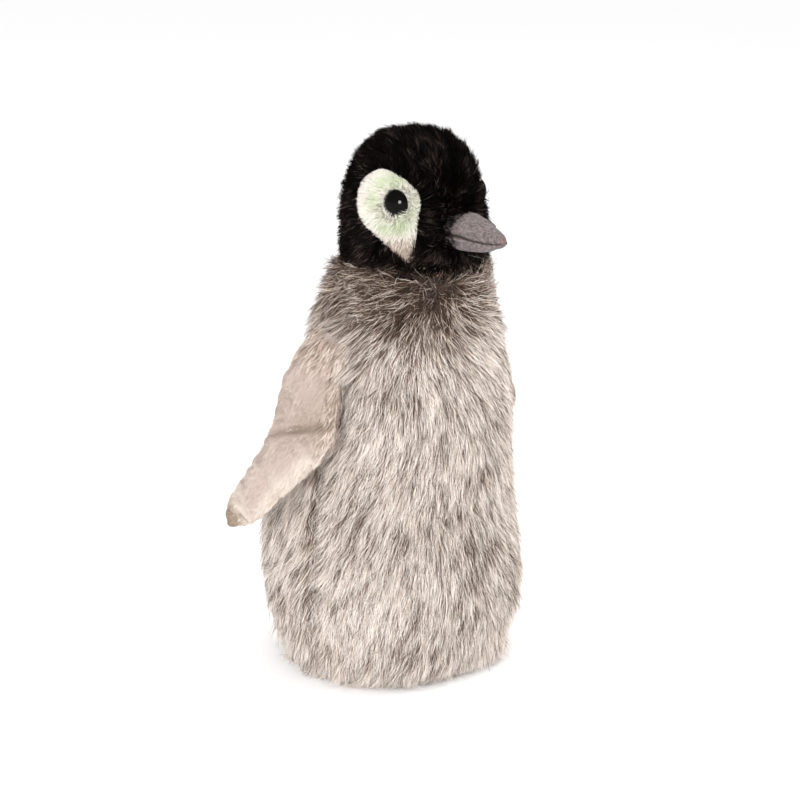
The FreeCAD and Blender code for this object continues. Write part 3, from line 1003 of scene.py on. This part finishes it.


# ---- build ----
# The backing under the long pile is dark brown as painted shade, so that the gaps in the pile read dark.
backing = cloth_material("pile backing", (0.10, 0.080, 0.068), (0.17, 0.145, 0.125), roughness=0.9)
black_backing = cloth_material("black backing", (0.003, 0.0025, 0.002), (0.007, 0.0055, 0.005),
                               roughness=0.95, specular=0.1)
white_backing = cloth_material("white backing", (0.66, 0.66, 0.60), (0.78, 0.78, 0.73), roughness=0.9)
# The long pile's along ramp makes the roots very dark. This is partly the pile's own tone and partly
# painted shade that darkens the gaps between its tufts.
long_pile = strand_material(
    "long grey pile",
    [(0.0, 0.050, 0.028, 0.019), (0.25, 0.19, 0.122, 0.086), (0.55, 0.52, 0.415, 0.335),
     (0.8, 0.86, 0.78, 0.71), (1.0, 0.97, 0.93, 0.885)],
    [(0.0, 0.11, 0.070, 0.050), (0.38, 0.36, 0.275, 0.22), (0.75, 0.96, 0.93, 0.90), (1.0, 1, 1, 1)],
    roughness=0.6, specular=0.25, sheen=0.15)
# The black pile's palest shades are brownish: partly real brown hairs, partly painted highlight.
black_pile = strand_material(
    "short black pile",
    [(0.0, 0.002, 0.0015, 0.0012), (0.55, 0.005, 0.0036, 0.003), (0.82, 0.026, 0.017, 0.014),
     (1.0, 0.12, 0.086, 0.072)],
    [(0.0, 0.4, 0.4, 0.4), (1.0, 1, 1, 1)],
    roughness=0.55, specular=0.09)
white_pile = strand_material(
    "white pile with green spray",
    [(0.0, 0.79, 0.745, 0.70), (0.25, 0.74, 0.735, 0.63), (0.62, 0.57, 0.64, 0.45),
     (0.8, 0.56, 0.47, 0.40), (1.0, 0.50, 0.41, 0.34)],
    [(0.0, 0.70, 0.70, 0.64), (0.5, 0.94, 0.94, 0.91), (1.0, 1, 1, 1)],
    roughness=0.65, specular=0.2, sheen=0.1)
flipper_pile = strand_material(
    "flipper pile",
    [(0.0, 0.42, 0.325, 0.27), (0.28, 0.60, 0.495, 0.44), (0.6, 0.78, 0.70, 0.63),
     (0.85, 0.46, 0.365, 0.28), (1.0, 0.28, 0.215, 0.15)],
    [(0.0, 0.80, 0.78, 0.76), (1.0, 1, 1, 1)],
    roughness=0.6, specular=0.25, sheen=0.3)
flipper_backing = cloth_material("flipper backing", (0.50, 0.41, 0.36), (0.62, 0.52, 0.46), roughness=0.85,
                                 sheen=0.3)
base_weave = cloth_material("base cloth", (0.34, 0.32, 0.30), (0.50, 0.48, 0.45), 1600.0, roughness=0.9)
fibre = cloth_material("filling fibre", (0.78, 0.78, 0.76), (0.90, 0.90, 0.88), 700.0, roughness=0.95)
thread = cloth_material("mouth thread", (0.030, 0.024, 0.022), (0.055, 0.046, 0.042), 3500.0, roughness=0.8)


def beak_suede():
    """Napped grey suede cloth whose very tip has a reddish stain."""
    material, tree, inputs = new_material("beak suede", roughness=0.9, specular=0.15, sheen=0.12)
    nap = add_noise(tree, 1100.0, 3.0, (1.0, 0.6, 1.0))
    both = add_mix(tree, "OVERLAY", 0.35, nap, add_noise(tree, 160.0))
    grey = add_ramp(tree, both, [(0.34, 0.092, 0.075, 0.072), (0.66, 0.205, 0.170, 0.164)])
    ahead = add_node(tree, "SeparateXYZ", {0: coordinates(tree)}).outputs[1]
    span = {"Value": ahead, "From Min": -0.0647, "From Max": -0.0664, "To Max": 0.42}
    at_tip = add_node(tree, "MapRange", span).outputs[0]
    feed(tree, inputs["Base Color"], add_mix(tree, "MIX", at_tip, grey, (0.24, 0.10, 0.10)))
    add_bump(tree, inputs, nap, 0.6, 0.0006)
    return material


def eye_gloss():
    material, tree, inputs = new_material("eye gloss", roughness=0.04, specular=0.5)
    blacks = [(0.3, 0.002, 0.002, 0.002), (0.8, 0.006, 0.005, 0.004)]
    feed(tree, inputs["Base Color"], add_ramp(tree, add_noise(tree, 300.0), blacks))
    return material


def place(piece, node=None, body="torso"):
    """Puts a piece on its body and hides the CAD node that it stands for, if there is one."""
    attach(piece, body)
    if node is not None:
        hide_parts(node)


# Each piece of pile draws from a seed of its own: from 100 on for the body, 200 for the head, 300 for the
# patches and 400 for the flippers and shoulders. Shoulder strands are counted over the whole torso
PATCH_STRANDS, FLIPPER_STRANDS, FRINGE_STRANDS, SHOULDER_STRANDS = 9000, 22000, 9000, 420000

# Each panel's first and last turn round the body in half turns, the columns of its backing, the strands of
# each of its pieces of pile, and how many pieces there are
BODY_PANELS = {
    "body_front_panel": (1.0, 2.0, 96, 39000, 5),
    "body_back_panel_left": (0.0, 0.5, 50, 33000, 3),
    "body_back_panel_right": (0.5, 1.0, 50, 33000, 3),
}
body_skins = {}
for node, (first, last, cols, *_) in BODY_PANELS.items():
    name = node.replace("_panel", "") + "_backing"
    body_skins[node] = body_skin(name, first * math.pi, last * math.pi, cols, backing)

# Each head piece's name, latitudes, turns over the crown in degrees, rows and columns, and strands
GUSSET, POLE = 18, 89.5
HEAD_PANELS = {
    "head_crown_gusset": ("crown", -GUSSET, GUSSET, 0, 255, 14, 80, 16000),
    "head_chin_panel": ("chin", -GUSSET, GUSSET, -75, 0, 14, 26, 6000),
    "head_side_left": ("left", GUSSET, POLE, -90, 270, 30, 110, 24000),
    "head_side_right": ("right", -POLE, -GUSSET, -90, 270, 30, 110, 24000),
}
head_skins = {}
for node, (word, *angles, rows, cols, _) in HEAD_PANELS.items():
    angles = [math.radians(angle) for angle in angles]
    head_skins[node] = head_skin(f"head_{word}_backing", *angles, black_backing, rows, cols)
head_surface_skin = Surface(*head_skins.values())
body_surface = Surface(*body_skins.values(), *head_skins.values())

for k, (node, skin) in enumerate(body_skins.items()):
    place(skin, node)
    panel = Surface(skin)
    *_, count, parts = BODY_PANELS[node]
    for part in range(parts):
        name = node.replace("_panel", "") + f"_pile_{part + 1}"
        place(body_fur(name, panel, count, 100 + 10 * k + part, long_pile))

for k, (node, skin) in enumerate(head_skins.items()):
    place(skin, node)
    count = HEAD_PANELS[node][-1]
    fur = head_fur(node + "_pile", Surface(skin), head_surface_skin, count, 200 + k, black_pile)
    place(fur)

gloss = eye_gloss()
for side, word in ((-1, "right"), (1, "left")):
    patch = patch_skin(f"eye_patch_{word}_backing", side, head_surface_skin.tree, white_backing)
    place(patch, f"eye_patch_{word}")
    fur = patch_fur(f"eye_patch_{word}_pile", side, Surface(patch), PATCH_STRANDS, 300 + side, white_pile)
    place(fur)
    place(eye(f"eye_{word}_dome", side, gloss), f"eye_{word}")

suede = beak_suede()
beak = beak_form()
for word, first in (("upper", 0), ("lower", BEAK_COLS // 2)):
    half = half_object(f"beak_{word}_cloth", beak, BEAK_ROWS, BEAK_COLS, first, suede)
    place(half, f"beak_{word}")
place(mouth_stitches(beak, thread))
place(padding(beak, BEAK_ROWS, BEAK_COLS, "beak_filling", fibre), "beak_stuffing")

form = flipper_form()
torso_skin = Surface(*body_skins.values())
for side, word in ((-1, "right"), (1, "left")):
    body = f"flipper_{word}"
    points = flipper_point(*form.T, side)
    skins = flipper_skins(points, body, flipper_backing)
    surface = Surface(*skins.values())
    for face, skin in skins.items():
        outer = face == "outer"
        place(skin, f"{body}_{face}_skin", body)
        fur = flipper_fur(f"{body}_{face}_pile", side, Surface(skin), surface, FLIPPER_STRANDS,
                          400 + 10 * outer + side, flipper_pile, outer)
        place(fur, body=body)
    pad = padding(points, FLIPPER_ROWS, FLIPPER_COLS, f"{body}_padding", fibre, 0.6)
    place(pad, f"{body}_batting", body)
    fringe = flipper_fringe(f"{body}_long_pile", side, surface, FRINGE_STRANDS, 430 + side, long_pile)
    place(fringe, body=body)
    name = f"shoulder_{word}_pile"
    shoulder = shoulder_fur(name, side, torso_skin, SHOULDER_STRANDS, 440 + side, long_pile)
    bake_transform(shoulder)

place(base_cloth(base_weave), "base_panel")

# Inner pieces keep their CAD shapes, with materials of their own
bag = cloth_material("bag cotton", (0.62, 0.60, 0.56), (0.74, 0.72, 0.68), 1200.0, roughness=0.9)
granules = cloth_material("granules", (0.55, 0.55, 0.52), (0.78, 0.78, 0.75), 500.0, roughness=0.5)
moulded = cloth_material("moulded washer", (0.62, 0.62, 0.60), (0.70, 0.70, 0.68), 900.0, roughness=0.45)
INNER = {
    "body_stuffing": fibre, "head_stuffing": fibre,
    "pellet_bag": bag, "pellets": granules, "eye_washer_left": moulded, "eye_washer_right": moulded,
}
for node, material in INNER.items():
    mesh = frame["nodes"][node].data
    mesh.materials.clear()
    mesh.materials.append(material)

# ---- floor, light and camera ----
floor_material, floor_tree, floor_inputs = new_material("studio floor", roughness=0.9, specular=0.1)
feed(floor_tree, floor_inputs["Base Color"], (0.955, 0.948, 0.952))
corners = np.array([(-1, -1, 0), (1, -1, 0), (1, 1, 0), (-1, 1, 0)], float) * 20000
floor = new_object("floor", corners, [(0, 1, 2, 3)], floor_material)
floor.visible_glossy = False

world = bpy.data.worlds.new("studio")
bpy.context.scene.world = world
world.use_nodes = True
sky = world.node_tree
height = add_node(sky, "SeparateXYZ", {0: coordinates(sky, "Generated")}).outputs[2]
# The room that glossy surfaces mirror gets darker from the floor up
room = add_ramp(sky, height, [(0.0, 0.20, 0.20, 0.20), (0.12, 0.10, 0.10, 0.10), (0.35, 0.03, 0.03, 0.03)])
in_gloss = sky.nodes.new("ShaderNodeLightPath").outputs["Is Glossy Ray"]
feed(sky, sky.nodes["Background"].inputs[0], add_mix(sky, "MIX", in_gloss, (1, 1, 1), room))
sky.nodes["Background"].inputs[1].default_value = 1.05


def area_light(name, where, size, power, seen_in_gloss=False):
    data = bpy.data.lights.new(name, "AREA")
    data.shape = "DISK"
    data.size = size
    data.energy = power
    lamp = linked(name, data)
    lamp.location = where
    aim = Vector((0, 0, 0.11)) - Vector(where)
    lamp.rotation_euler = aim.to_track_quat("-Z", "Y").to_euler()
    lamp.visible_glossy = seen_in_gloss


AZIMUTH, ELEVATION, DISTANCE, LENS = math.radians(-45), math.radians(15), 0.97, 100
aim = Vector((0.0031, -0.0031, 0.1157))
level = math.cos(ELEVATION)
back = Vector((math.sin(AZIMUTH) * level, -math.cos(AZIMUTH) * level, math.sin(ELEVATION)))
area_light("top soft box", (0.1, 0.0, 1.5), 0.9, 3)
area_light("key", (1.1, -0.75, 0.65), 0.6, 9)
area_light("left soft box", (-1.2, -0.35, 0.6), 0.6, 7)
area_light("flash", aim + back * 1.12 + Vector((0, 0, 0.05)), 0.42, 4.1, True)

camera_data = bpy.data.cameras.new("camera")
camera_data.lens = LENS
camera = linked("camera", camera_data)
camera.location = aim + back * DISTANCE
camera.rotation_euler = (-back).to_track_quat("-Z", "Y").to_euler()
bpy.context.scene.camera = camera
bpy.context.scene.view_settings.view_transform = "Standard"
